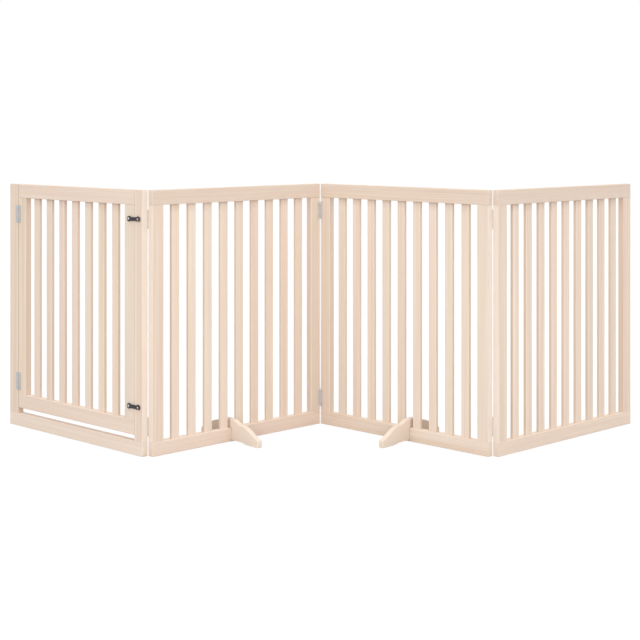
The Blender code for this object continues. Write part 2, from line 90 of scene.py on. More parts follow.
# Hinges, in the frame of the pin: wood at +y, leaf at +x
LEAF_BACK = 0.0008
LEAF_FRONT = 0.0
LEAF_CORNER = 0.0018
LEAF_EASE = 0.00015
KNUCKLE_OUTER = 0.0015
KNUCKLE_INNER = 0.0009
KNUCKLE_GAP = 0.0004
ROLL_INSET = 0.00005  # how far the rolled sheet's end lies inside the leaf's faces
ROLL_END = 345  # degrees
PIN_RADIUS = 0.0007
PIN_HEAD = 0.0012
HINGE_SCREW_Z = 0.0150
HINGE_SCREW_RADIUS = 0.0021
HINGE_SCREW_DOME = 0.0003
HINGE_SCREW_LENGTH = 0.004
HINGE_SCREW_NECK = 0.0011
HINGE_HOLE = 0.0018
SINK_FIT = 0.0002  # how much wider than the screw its countersink is
SCREW_RIM = 0.00005  # height of a hinge screw's rim over the leaf

# Latches
LATCH_EDGE = 0.0006
LATCH_BAR = 0.0100  # the height of the bar between its rings
LATCH_HOLE = 0.0029
LATCH_FLARE = 0.0007  # how much wider the hook's mouth is
PIVOT_HEAD = 0.0037
PIVOT_PLAY = 0.0004  # between the pivot screw's neck and the latch's hole
HEAD_GAP = 0.0003
HEAD_EASE = 0.0002
SHANK_RADIUS = 0.0012
SHANK_POINT = 0.0008
PIVOT_SHOULDER = 0.0011  # how far behind the latch the neck starts
STUD_SHOULDER = 0.0007  # the same for the stud

OVERCUT = 0.001  # how far a cutting shape reaches past the face that it cuts
RECESS_TAPER = (0.45, 0.6)  # a cross recess's length and width at its bottom, as shares
TURNED_STEPS = 40

# Grain: how far a board is from its pith, and where along the tree it was cut
PITH_ACROSS = (0.012, 0.070)
PITH_THROUGH = (0.010, 0.055)
GRAIN_START = (0.0, 40.0)

random.seed(7)


# Mesh helpers -----------------------------------------------------------


def arc(centre, radius, start, end, steps):
    angles = [math.radians(start + (end - start) * i / steps) for i in range(steps + 1)]
    return [(centre[0] + radius * math.cos(a), centre[1] + radius * math.sin(a)) for a in angles]


def prism(outline, low, high):
    """A closed bmesh: the outline in XY, from one height to another."""
    bm = bmesh.new()
    face = bm.faces.new([bm.verts.new((x, y, low)) for x, y in outline])
    top = bmesh.ops.extrude_face_region(bm, geom=[face])["geom"]
    verts = [v for v in top if isinstance(v, bmesh.types.BMVert)]
    bmesh.ops.translate(bm, verts=verts, vec=(0.0, 0.0, high - low))
    bmesh.ops.recalc_face_normals(bm, faces=bm.faces)
    return bm


def lathe(profile, steps):
    """A closed bmesh turned about Z from (radius, height) pairs that start and end at radius 0."""
    bm = bmesh.new()
    verts = [bm.verts.new((r, 0.0, z)) for r, z in profile]
    edges = [bm.edges.new(pair) for pair in zip(verts, verts[1:])]
    bmesh.ops.spin(
        bm, geom=verts + edges, cent=(0, 0, 0), axis=(0, 0, 1), angle=math.tau, steps=steps,
        use_merge=True,
    )
    bmesh.ops.remove_doubles(bm, verts=bm.verts, dist=1e-6)
    bmesh.ops.recalc_face_normals(bm, faces=bm.faces)
    return bm


def shaded_smooth(mesh, sharp):
    """Smooth shading, with hard edges where faces meet at more than that many degrees."""
    mesh.shade_smooth()
    mesh.set_sharp_from_angle(angle=math.radians(sharp))
    return mesh


def mesh_from(bm, name, sharp=40):
    mesh = bpy.data.meshes.new(name)
    bm.to_mesh(mesh)
    bm.free()
    return shaded_smooth(mesh, sharp)


def linked(name, data):
    obj = bpy.data.objects.new(name, data)
    bpy.context.scene.collection.objects.link(obj)
    return obj


def solid(name, base, joined=(), cut=(), bevel=0.0, segments=2, sharp=40):
    """One mesh from a base bmesh, fused with some shapes and cut by others, edges eased."""
    obj = linked(name, mesh_from(base, name))
    helpers = [obj]
    for operation, shapes in (("UNION", joined), ("DIFFERENCE", cut)):
        for shape in shapes:
            helper = linked(name + "_tool", mesh_from(shape, name + "_tool"))
            modifier = obj.modifiers.new(operation.lower(), "BOOLEAN")
            modifier.operation = operation
            modifier.object = helper
            helpers.append(helper)
    if bevel:
        modifier = obj.modifiers.new("ease", "BEVEL")
        modifier.width = bevel
        modifier.segments = segments
        modifier.limit_method = "ANGLE"
        modifier.angle_limit = math.radians(40)
        modifier.use_clamp_overlap = True
    graph = bpy.context.evaluated_depsgraph_get()
    mesh = bpy.data.meshes.new_from_object(obj.evaluated_get(graph))
    for helper in helpers:
        bpy.data.objects.remove(helper, do_unlink=True)
    mesh.name = name
    return shaded_smooth(mesh, sharp)


def write_grain(mesh, rims=None, sides=None, joints=None):
    """Stores each point's place in its board, and the board's own pith and tone.

    The painted highlight on the rims, the painted shade on the sides, and the painted shade
    below the top rail and behind a panel are shares from 0 to 1, one for each point.
    """
    count = len(mesh.vertices)
    co = np.empty(count * 3, np.float32)
    mesh.vertices.foreach_get("co", co)
    along = random.uniform(*GRAIN_START)
    pith = (random.choice((-1, 1)) * random.uniform(*PITH_ACROSS), random.uniform(*PITH_THROUGH))
    tone = random.random()
    place = co.reshape(-1, 3) + np.array((along, 0.0, 0.0), np.float32)
    grain = mesh.attributes.new("grain", "FLOAT_VECTOR", "POINT")
    grain.data.foreach_set("vector", place.reshape(-1))
    own = mesh.attributes.new("pith", "FLOAT_VECTOR", "POINT")
    own.data.foreach_set("vector", np.tile(np.array((*pith, tone), np.float32), count))
    for key, values in (("rim", rims), ("side", sides), ("joint", joints)):
        attribute = mesh.attributes.new(key, "FLOAT", "POINT")
        attribute.data.foreach_set("value", np.array(values or [0.0] * count, np.float32))


def add_piece(name, mesh, matrix, body, material, nodes=()):
    obj = linked(name, mesh)
    obj.matrix_world = matrix
    mesh.materials.clear()
    mesh.materials.append(material)
    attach(obj, body)
    if nodes:
        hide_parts(*nodes)


# Materials --------------------------------------------------------------


class Nodes:
    """Short calls for building a node tree."""

    def __init__(self, name):
        self.material = bpy.data.materials.new(name)
        self.material.use_nodes = True
        self.tree = self.material.node_tree
        self.shader = self.tree.nodes["Principled BSDF"]

    def add(self, kind, settings=None, **inputs):
        node = self.tree.nodes.new(kind)
        for key, value in (settings or {}).items():
            setattr(node, key, value)
        for key, value in inputs.items():
            self.feed(node.inputs[key.replace("_", " ")], value)
        return node

    def feed(self, socket, value):
        if isinstance(value, bpy.types.NodeSocket):
            self.tree.links.new(value, socket)
        else:
            socket.default_value = value

    def maths(self, operation, a, b=0.0):
        node = self.tree.nodes.new("ShaderNodeMath")
        node.operation = operation
        self.feed(node.inputs[0], a)
        self.feed(node.inputs[1], b)
        return node.outputs[0]

    def mix(self, share, a, b):
        node = self.tree.nodes.new("ShaderNodeMix")
        node.data_type = "RGBA"
        self.feed(node.inputs["Factor"], share)
        self.feed(node.inputs[6], a)
        self.feed(node.inputs[7], b)
        return node.outputs[2]

    def noise(self, vector, scale, detail=2.0, roughness=0.5):
        node = self.add("ShaderNodeTexNoise", Scale=scale, Detail=detail, Roughness=roughness)
        self.feed(node.inputs["Vector"], vector)
        return node.outputs["Fac"]

    def stretched(self, vector, scale):
        node = self.tree.nodes.new("ShaderNodeVectorMath")
        node.operation = "MULTIPLY"
        self.feed(node.inputs[0], vector)
        node.inputs[1].default_value = scale
        return node.outputs[0]

    def ramp(self, value, low, high, to_low=0.0, to_high=1.0):
        node = self.add("ShaderNodeMapRange")
        node.interpolation_type = "SMOOTHSTEP"
        self.feed(node.inputs["Value"], value)
        node.inputs["From Min"].default_value = low
        node.inputs["From Max"].default_value = high
        node.inputs["To Min"].default_value = to_low
        node.inputs["To Max"].default_value = to_high
        return node.outputs["Result"]

    def attribute(self, name, output="Vector"):
        return self.add("ShaderNodeAttribute", {"attribute_name": name}).outputs[output]

    def bump(self, height, distance, strength):
        node = self.add("ShaderNodeBump", Height=height, Distance=distance, Strength=strength)
        return node.outputs["Normal"]

    def finish(self, colour, roughness, normal, **constants):
        self.feed(self.shader.inputs["Base Color"], colour)
        self.feed(self.shader.inputs["Roughness"], roughness)
        if normal is not None:
            self.feed(self.shader.inputs["Normal"], normal)
        for key, value in constants.items():
            self.shader.inputs[key.replace("_", " ")].default_value = value
        return self.material


CREAM = (0.800, 0.675, 0.568, 1.0)
TAN = (0.660, 0.478, 0.362, 1.0)
PINK = (0.795, 0.608, 0.508, 1.0)
YELLOW = (0.795, 0.668, 0.505, 1.0)
PALE = (0.860, 0.755, 0.655, 1.0)
BEIGE = (0.735, 0.640, 0.545, 1.0)
UMBER = (0.330, 0.180, 0.120, 1.0)
ZINC = ((0.53, 0.525, 0.53, 1.0), (0.61, 0.60, 0.60, 1.0))
# Zinc tinted by a painted reflection of warm light bounced from the wood.
WOOD_BOUNCE_ZINC = (0.90, 0.78, 0.68, 1.0)
BRIGHT = ((0.62, 0.62, 0.64, 1.0), (0.80, 0.80, 0.81, 1.0))
BLACK = ((0.020, 0.015, 0.016, 1.0), (0.040, 0.031, 0.032, 1.0))
RING_SPACING = 0.0034
RIM_TONE = 0.70  # how far the painted highlight on the palest edges goes towards pale
SIDE_TONE = 0.40  # how far the painted shade on the darkened sides goes towards tan
PAINTED_SHADE_TONE = 0.50  # painted shade: how far the slats go towards umber where they enter the top rail


def pine(name, tint=CREAM, share=0.0):
    """Planed softwood: growth rings about a pith, streaks and fine fibres, with a share of a tint."""
    n = Nodes(name)
    grain = n.attribute("grain")
    own = n.add("ShaderNodeSeparateXYZ", Vector=n.attribute("pith"))
    place = n.add("ShaderNodeSeparateXYZ", Vector=grain)
    waver = n.noise(n.stretched(grain, (2.2, 22.0, 22.0)), 1.0, 2.0)
    across = n.maths("SUBTRACT", place.outputs["Y"], own.outputs["X"])
    through = n.maths("SUBTRACT", place.outputs["Z"], own.outputs["Y"])
    squared = n.maths("ADD", n.maths("MULTIPLY", across, across), n.maths("MULTIPLY", through, through))
    radius = n.maths("ADD", n.maths("SQRT", squared), n.maths("MULTIPLY", waver, 0.011))
    ring = n.maths("FRACT", n.maths("DIVIDE", radius, RING_SPACING))
    rise = n.ramp(ring, 0.35, 0.90)
    fall = n.ramp(ring, 0.90, 1.0, 1.0, 0.0)
    late = n.maths("MULTIPLY", rise, fall)
    strength = n.noise(n.stretched(grain, (3.0, 70.0, 70.0)), 1.0, 1.0)
    late = n.maths("MULTIPLY", late, n.ramp(strength, 0.30, 0.75, 0.12, 0.52))
    streak = n.noise(n.stretched(grain, (1.3, 150.0, 110.0)), 1.0, 3.0, 0.6)
    blush = n.noise(n.stretched(grain, (0.9, 45.0, 60.0)), 1.0, 2.0)
    fibre = n.noise(n.stretched(grain, (14.0, 1500.0, 1500.0)), 1.0, 2.0, 0.7)
    heart = n.noise(n.stretched(grain, (0.8, 65.0, 65.0)), 1.0, 2.0)
    colour = n.mix(n.ramp(streak, 0.50, 0.64, 0.0, 0.80), CREAM, PINK)
    colour = n.mix(n.ramp(blush, 0.50, 0.68, 0.0, 0.75), colour, YELLOW)
    colour = n.mix(n.ramp(streak, 0.47, 0.34, 0.0, 0.80), colour, PALE)
    colour = n.mix(n.ramp(heart, 0.54, 0.70, 0.0, 0.34), colour, TAN)
    colour = n.mix(late, colour, TAN)
    colour = n.mix(n.ramp(fibre, 0.35, 0.75, 0.0, 0.10), colour, TAN)
    colour = n.mix(n.ramp(own.outputs["Z"], 0.0, 0.6, 0.30, 0.0), colour, PINK)
    colour = n.mix(n.ramp(own.outputs["Z"], 0.4, 1.0, 0.0, 0.24), colour, TAN)
    grey = n.maths("FRACT", n.maths("MULTIPLY", own.outputs["Z"], 7.0))
    colour = n.mix(n.ramp(grey, 0.45, 0.95, 0.0, 0.40), colour, BEIGE)
    if share:
        colour = n.mix(share, colour, tint)
    # Painted highlight at the rims, painted shade on the sides, and painted shade below the top rail and
    # behind a panel.
    places = (("rim", RIM_TONE, PALE), ("side", SIDE_TONE, TAN), ("joint", PAINTED_SHADE_TONE, UMBER))
    for key, tone, goal in places:
        colour = n.mix(n.maths("MULTIPLY", n.attribute(key, "Fac"), tone), colour, goal)
    roughness = n.ramp(fibre, 0.2, 0.8, 0.50, 0.68)
    height = n.maths("ADD", n.maths("MULTIPLY", fibre, 0.6), n.maths("MULTIPLY", late, -0.8))
    normal = n.bump(height, 0.00012, 0.55)
    return n.finish(colour, roughness, normal, Specular_IOR_Level=0.32)


def zinc(name, painted_bounce):
    """Zinc plate: satin and pale grey, faintly clouded, with fine drawn lines.

    Its warm tint, from 0 to 1, is a painted reflection of light bounced from the wood.
    """
    n = Nodes(name)
    grain = n.attribute("grain")
    cloud = n.noise(n.stretched(grain, (180.0, 180.0, 180.0)), 1.0, 3.0)
    drawn = n.noise(n.stretched(grain, (3000.0, 3000.0, 120.0)), 1.0, 2.0)
    colour = n.mix(n.ramp(cloud, 0.3, 0.7), *ZINC)
    colour = n.mix(painted_bounce, colour, WOOD_BOUNCE_ZINC)
    roughness = n.ramp(cloud, 0.3, 0.7, 0.48, 0.58)
    normal = n.bump(drawn, 0.00002, 0.4)
    return n.finish(colour, roughness, normal, Metallic=0.4)


def bright_steel():
    """Polished steel, lightly mottled."""
    n = Nodes("bright_steel")
    grain = n.attribute("grain")
    mottle = n.noise(n.stretched(grain, (700.0, 700.0, 700.0)), 1.0, 2.0)
    colour = n.mix(mottle, *BRIGHT)
    roughness = n.ramp(mottle, 0.3, 0.7, 0.18, 0.34)
    normal = n.bump(mottle, 0.00002, 0.4)
    return n.finish(colour, roughness, normal, Metallic=1.0)


def black_enamel():
    """Black stove enamel on steel, a little orange-peeled."""
    n = Nodes("black_enamel")
    grain = n.attribute("grain")
    peel = n.noise(n.stretched(grain, (900.0, 900.0, 900.0)), 1.0, 2.0)
    cloud = n.noise(n.stretched(grain, (120.0, 120.0, 120.0)), 1.0, 2.0)
    colour = n.mix(n.ramp(cloud, 0.3, 0.7), *BLACK)
    roughness = n.ramp(cloud, 0.3, 0.7, 0.30, 0.44)
    normal = n.bump(peel, 0.00004, 0.5)
    return n.finish(colour, roughness, normal, Specular_IOR_Level=0.5)


FRAME_PINE = pine("pine_frame")
PALE_PINE = pine("pine_frame_pale", PALE, share=0.35)
# A darker copy of the frame pine for the fixed panels' top rails: painted shade.
SHADED_TOP_PINE = pine("pine_frame_shaded", UMBER, share=0.10)
SLAT_PINE = pine("pine_slats", PALE, share=0.10)
FOOT_PINE = pine("pine_feet", PALE, share=0.45)
# The hinges between boards get a painted reflection of the wood's warm bounce light; the door's gets
# none.
DOOR_ZINC = zinc("zinc_door", painted_bounce=0.0)
FOLD_ZINC = zinc("zinc_fold", painted_bounce=0.35)
CORNER_ZINC = zinc("zinc_corner", painted_bounce=0.42)
STEEL = bright_steel()
ENAMEL = black_enamel()


# Reading the frame ------------------------------------------------------


def points_of(node):
    mesh = frame["nodes"][node].data
    co = np.empty(len(mesh.vertices) * 3)
    mesh.vertices.foreach_get("co", co)
    return co.reshape(-1, 3)


def heading(node):
    """The angle about Z of a long lying board, between -90 and 90 degrees."""
    flat = points_of(node)[:, :2]
    values, vectors = np.linalg.eigh(np.cov((flat - flat.mean(0)).T))
    x, y = vectors[:, int(np.argmax(values))]
    return math.atan2(y, x) if x > 0 else math.atan2(-y, -x)


def turned_box(node, angle):
    """A node's lowest and highest corner in a frame turned about Z by that angle."""
    turn = np.array(Matrix.Rotation(-angle, 3, "Z"))
    co = points_of(node) @ turn.T
    return Vector(co.min(0)), Vector(co.max(0))


ANGLES = {body: heading(f"{body}_bottom_rail") for body in ("door", "panel_2", "panel_3", "panel_4")}
ANGLES["door_frame"] = heading("frame_bottom_rail")
JOINTS = {joint["name"]: joint for joint in frame["record"]["behaviour"]["joints"]}


# Boards -----------------------------------------------------------------


def cross_section(width, depth, radius, slot_half=None):
    """(v, w, rim) points round a rounded rectangle, rim as painted highlight. The slot's edges lie on
    its +v face.
    """
    half_v, half_w = width / 2, depth / 2
    flat_v, flat_w = half_v - radius, half_w - radius
    points = []
    for quarter, (sv, sw) in enumerate(((1, 1), (-1, 1), (-1, -1), (1, -1))):
        centre = (sv * flat_v, sw * flat_w)
        for v, w in arc(centre, radius, 90 * quarter, 90 * quarter + 90, ARC_STEPS):
            points.append((v, w, 1.0))
        if quarter == 0:
            points += [(flat_v - RIM_BAND, half_w, 0.0), (-flat_v + RIM_BAND, half_w, 0.0)]
        elif quarter == 1:
            points += [(-half_v, flat_w - RIM_BAND, 0.0), (-half_v, -flat_w + RIM_BAND, 0.0)]
        elif quarter == 2:
            points += [(-flat_v + RIM_BAND, -half_w, 0.0), (flat_v - RIM_BAND, -half_w, 0.0)]
        else:
            points.append((half_v, -flat_w + RIM_BAND, 0.0))
            if slot_half:
                points += [(half_v, -slot_half, 0.0), (half_v, slot_half, 0.0)]
            points.append((half_v, flat_w - RIM_BAND, 0.0))
    return points


def stations_along(length, slots, shaded):
    """The places along u, from -length/2, where a board's cross-section is drawn."""
    end = length / 2
    stations = [-end, -end + END_CHAMFER, -end + END_CHAMFER + RIM_BAND]
    for low, high in slots:
        stations += [low, high]
    if shaded:
        stations += [end - shaded - reach for reach in (SHADE_FAR, SHADE_NEAR, 0.0)]
    return stations + [end - END_CHAMFER - RIM_BAND, end - END_CHAMFER, end]


def side_share(v, sides, flat, fade):
    """How far past the flat a point lies on some sides (-1, 1 or both, along v), from 0 to 1."""
    return max([0.0] + [min(1.0, (side * v - flat) / fade) for side in sides])


def rail_shade_share(distance):
    """How much painted shade a slat has at a distance below the rail that it enters, from 0 to 1."""
    if distance > SHADE_FAR - 1e-6:
        return 0.0
    return 1.0 if distance < SHADE_NEAR / 2 else SHADE_SHARE


def board_mesh(name, length, width, depth, radius, slots=(), shade_sides=(), band=0.0, highlight_sides=(), shaded=0.0):
    """A board along u from -length/2, with square pockets from its +v face where slats enter.

    Its sides given to darken (-1, 1 or both, along v) get painted shade, from a band's width
    before their rounded edges, and those given to lighten get a painted highlight. Where shaded
    is the distance from the upper end to a joint, the stretch below it has painted shade too.
    """
    slot_half = SLAT_DEPTH / 2 + MORTISE_FIT if slots else None
    section = cross_section(width, depth, radius, slot_half)
    stations = stations_along(length, slots, shaded)
    inset_v = 1 - 2 * END_CHAMFER / width
    inset_w = 1 - 2 * END_CHAMFER / depth
    last = len(stations) - 1
    bm = bmesh.new()
    rims = []
    rings = []
    for i, u in enumerate(stations):
        scale_v, scale_w = (inset_v, inset_w) if i in (0, last) else (1.0, 1.0)
        # Near both ends the whole cross-section gets the painted highlight; elsewhere only the rounded
        # edges do.
        near_end = i in (0, 1, last - 1, last)
        rings.append([bm.verts.new((u, v * scale_v, w * scale_w)) for v, w, _ in section])
        rims += [RIM_SHARE if near_end else RIM_SHARE * rim for _, _, rim in section]
    count = len(section)
    slot_index = count - 3
    pockets = {stations.index(low) for low, _ in slots}
    for i, (ring, following) in enumerate(zip(rings, rings[1:])):
        for j in range(count):
            k = (j + 1) % count
            if i in pockets and j == slot_index:
                rims += sink_pocket(bm, ring[j], ring[k], following[j], following[k])
            else:
                bm.faces.new((ring[j], ring[k], following[k], following[j]))
    bm.faces.new(list(reversed(rings[0])))
    bm.faces.new(rings[-1])
    bmesh.ops.recalc_face_normals(bm, faces=bm.faces)
    mesh = mesh_from(bm, name, 30)
    flat = width / 2 - radius
    points = [vert.co for vert in mesh.vertices]
    # Painted highlight on the rims and the lightened sides; painted shade on the darkened sides and
    # below the top rail.
    rims = [max(rim, side_share(point.y, highlight_sides, flat, radius)) for rim, point in zip(rims, points)]
    sides = [side_share(point.y, shade_sides, flat - band, radius + band) for point in points]
    joints = [rail_shade_share(length / 2 - shaded - point.x) if shaded else 0.0 for point in points]
    write_grain(mesh, rims, sides, joints)
    return mesh


def sink_pocket(bm, a, b, c, d):
    """Walls and a floor below the open quad a, b, d, c. Gives the new points' rim shares."""
    down = Vector((0.0, -MORTISE_DEPTH, 0.0))
    mouth = [a, b, d, c]
    bottom = [bm.verts.new(vert.co + down) for vert in mouth]
    for i in range(4):
        j = (i + 1) % 4
        bm.faces.new((mouth[i], mouth[j], bottom[j], bottom[i]))
    bm.faces.new(bottom)
    return [0.0] * len(bottom)


LYING = Matrix(((1, 0, 0, 0), (0, 0, -1, 0), (0, 1, 0, 0), (0, 0, 0, 1)))  # v up
LYING_DOWN = Matrix(((1, 0, 0, 0), (0, 0, 1, 0), (0, -1, 0, 0), (0, 0, 0, 1)))  # v down
STANDING = Matrix(((0, 1, 0, 0), (0, 0, 1, 0), (1, 0, 0, 0), (0, 0, 0, 1)))  # u up, v along x


def matrix_at(centre, angle, pose):
    """Places a posed piece whose centre is given in the frame turned by that angle."""
    turn = Matrix.Rotation(angle, 4, "Z")
    return Matrix.Translation(turn @ centre) @ turn @ pose


def lying_board(node, body, slat_spans=(), slats_above=True, wood=FRAME_PINE):
    """A rail, darker on its underside with painted shade."""
    angle = ANGLES[body]
    low, high = turned_box(node, angle)
    centre = (low + high) / 2
    spans = [(a - centre.x, b - centre.x) for a, b in slat_spans]
    pose = LYING if slats_above else LYING_DOWN
    size = high - low
    under = -1 if slats_above else 1
    mesh = board_mesh(node, size.x, size.z, size.y, EDGE_RADIUS, spans, shade_sides=(under,), band=RIM_BAND)
    add_piece(f"{node}_board", mesh, matrix_at(centre, angle, pose), body, wood, [node])


def standing_board(node, body, inner):
    """An upright: painted shade on its inner side, painted highlight on its outer; the door's shaded on
    both.
    """
    angle = ANGLES[body]
    low, high = turned_box(node, angle)
    size = high - low
    if body == "door":
        tones = {"shade_sides": (-1, 1), "band": RIM_BAND}
    else:
        tones = {"shade_sides": (inner,), "highlight_sides": (-inner,)}
    mesh = board_mesh(node, size.z, size.x, size.y, EDGE_RADIUS, **tones)
    matrix = matrix_at((low + high) / 2, angle, STANDING)
    add_piece(f"{node}_board", mesh, matrix, body, FRAME_PINE, [node])


def slat(name, body, x, y, z_range, node):
    """One slat, from mortise to mortise. The last argument is the node it stands for."""
    length = z_range[1] - z_range[0] + 2 * SLAT_TENON
    # Painted shade on both sides, where the slats shade each other, and below the top rail.
    mesh = board_mesh(name, length, SLAT_WIDTH, SLAT_DEPTH, SLAT_RADIUS, shade_sides=(-1, 1), shaded=SLAT_TENON)
    matrix = matrix_at(Vector((x, y, sum(z_range) / 2)), ANGLES[body], STANDING)
    add_piece(name, mesh, matrix, body, SLAT_PINE, [node])


def mortise_spans(centres):
    half = SLAT_WIDTH / 2 + MORTISE_FIT
    return [(x - half, x + half) for x in centres]


def fixed_panel(body):
    """A frame of two rails and two stiles round nine slats."""
    angle = ANGLES[body]
    inner_low = turned_box(f"{body}_stile_left", angle)[1].x
    inner_high = turned_box(f"{body}_stile_right", angle)[0].x
    gap = (inner_high - inner_low - PANEL_SLATS * SLAT_WIDTH) / (PANEL_SLATS + 1)
    first = inner_low + gap + SLAT_WIDTH / 2
    centres = [first + i * (SLAT_WIDTH + gap) for i in range(PANEL_SLATS)]
    spans = mortise_spans(centres)
    # The top rails take the darker pine copy, a painted shade.
    lying_board(f"{body}_top_rail", body, spans, slats_above=False, wood=SHADED_TOP_PINE)
    lying_board(f"{body}_bottom_rail", body, spans)
    standing_board(f"{body}_stile_left", body, 1)
    standing_board(f"{body}_stile_right", body, -1)
    below = turned_box(f"{body}_bottom_rail", angle)
    above = turned_box(f"{body}_top_rail", angle)
    y = (below[0].y + below[1].y) / 2
    for number, x in enumerate(centres, 1):
        slat(f"{body}_slat_{number}", body, x, y, (below[1].z, above[0].z), f"{body}_slats")


def door_panel():
    """The door with its seven slats, and the frame that it hangs in."""
    angle = ANGLES["door"]
    boxes = [turned_box(f"door_slat_{number}", angle) for number in range(1, DOOR_SLATS + 1)]
    centres = [(low.x + high.x) / 2 for low, high in boxes]
    spans = mortise_spans(centres)
    lying_board("door_top_rail", "door", spans, slats_above=False)
    lying_board("door_bottom_rail", "door", spans)
    standing_board("door_hinge_stile", "door", 1)
    standing_board("door_latch_stile", "door", -1)
    z_range = (turned_box("door_bottom_rail", angle)[1].z, turned_box("door_top_rail", angle)[0].z)
    y = (boxes[0][0].y + boxes[0][1].y) / 2
    for number, x in enumerate(centres, 1):
        slat(f"door_slat_{number}_board", "door", x, y, z_range, f"door_slat_{number}")
    lying_board("frame_bottom_rail", "door_frame", wood=PALE_PINE)
    standing_board("frame_post_left", "door_frame", 1)
    standing_board("frame_post_right", "door_frame", -1)


# Feet -------------------------------------------------------------------


def s_curve(start, end, steps):
    """A smooth fall from one height to another, level at both ends, without its first point."""
    points = []
    for i in range(1, steps + 1):
        share = i / steps
        ease = (1 - math.cos(math.pi * share)) / 2
        points.append((start[0] + (end[0] - start[0]) * share, start[1] + (end[1] - start[1]) * ease))
    return points


def foot_outline(tip, height, half_notch, notch_top):
    """The whole side view, (across the panel, up), from the notch round the front half."""
    top = (FOOT_TOP_HALF, height)
    upper = [top] + s_curve(top, FOOT_WAIST, steps=14)
    upper += s_curve(FOOT_WAIST, FOOT_LONG_FALL_END, steps=40)
    upper = [point for point in upper if point[0] < tip - FOOT_TIP_RADIUS]
    level = (half_notch + FOOT_ARCH_FLAT, FOOT_ARCH)
    half = [(half_notch, notch_top), (half_notch, FOOT_ARCH), level]
    half += s_curve(level, (tip - FOOT_PAD, 0.0), steps=12)
    toe = FOOT_TIP_RADIUS / 2
    half += arc((tip - toe, toe), toe, -90, 0, steps=6)
    tip_centre = (tip - FOOT_TIP_RADIUS, FOOT_TIP_HEIGHT - FOOT_TIP_RADIUS)
    half += arc(tip_centre, FOOT_TIP_RADIUS, 0, 60, steps=7)
    half += reversed(upper)
    return half + [(-x, z) for x, z in reversed(half)]


def divide(mesh, places):
    """Cuts the mesh's faces across at some places along x, so that a painted shade can change there."""
    bm = bmesh.new()
    bm.from_mesh(mesh)
    for place in places:
        geometry = bm.verts[:] + bm.edges[:] + bm.faces[:]
        bmesh.ops.bisect_plane(bm, geom=geometry, plane_co=(place, 0, 0), plane_no=(1, 0, 0))
    bm.to_mesh(mesh)
    bm.free()


def foot(node, panel):
    """One board across a panel, notched over its bottom rail, with painted shade behind it."""
    angle = ANGLES[panel]
    low, high = turned_box(node, angle)
    rail_low, rail_high = turned_box(f"{panel}_bottom_rail", angle)
    centre = (low + high) / 2
    half_notch = (rail_high.y - rail_low.y) / 2 + FOOT_NOTCH_CLEARANCE
    notch_top = rail_high.z + FOOT_NOTCH_CLEARANCE
    outline = foot_outline((high.y - low.y) / 2, high.z, half_notch, notch_top)
    thick = high.x - low.x
    mesh = solid(node, prism(outline, -thick / 2, thick / 2), bevel=FOOT_EDGE, segments=4, sharp=60)
    # Painted shade from the panel's front face backwards, where the panel shades the foot.
    divide(mesh, FOOT_SHADE_PLACES)
    across = [vert.co.x for vert in mesh.vertices]
    shares = np.interp(across, FOOT_SHADE_PLACES, FOOT_SHADE_SHARES)
    write_grain(mesh, joints=[FOOT_SHADE * share for share in shares])
    # The outline's x runs across the panel, its y up, and its thickness along the panel.
    pose = Matrix(((0, 0, 1, 0), (1, 0, 0, 0), (0, 1, 0, 0), (0, 0, 0, 1)))
    matrix = matrix_at(Vector((centre.x, centre.y, 0.0)), angle, pose)
    add_piece(f"{node}_board", mesh, matrix, node, FOOT_PINE, [node])


# Hinges -----------------------------------------------------------------


def knuckle_spans(height):
    each = (height - 2 * KNUCKLE_GAP) / 3
    lows = [-height / 2 + i * (each + KNUCKLE_GAP) for i in range(3)]
    return [(low, low + each) for low in lows]


def rolled_outline():
    """The sheet of one knuckle: flat over the wood, then rolled nearly shut round the pin."""
    edge = KNUCKLE_OUTER + 2 * KNUCKLE_GAP
    back, front = LEAF_BACK - ROLL_INSET, LEAF_FRONT + ROLL_INSET
    start = math.degrees(math.asin(front / KNUCKLE_INNER))
    points = [(edge, back), (0.0, KNUCKLE_OUTER)]
    points += arc((0.0, 0.0), KNUCKLE_OUTER, 90, ROLL_END, steps=24)[1:]
    points += arc((0.0, 0.0), KNUCKLE_INNER, ROLL_END, start, steps=26)
    points.append((edge, front))
    return points


def mirrored(bm, side):
    """The shape as it is, or for side -1 its mirror image."""
    if side < 0:
        bmesh.ops.scale(bm, verts=bm.verts, vec=(-1.0, 1.0, 1.0))
        bmesh.ops.reverse_faces(bm, faces=bm.faces)
    return bm


def screw_place(far):
    """How far from the pin the screws of a leaf with that reach are."""
    return (KNUCKLE_OUTER + KNUCKLE_GAP + far) / 2


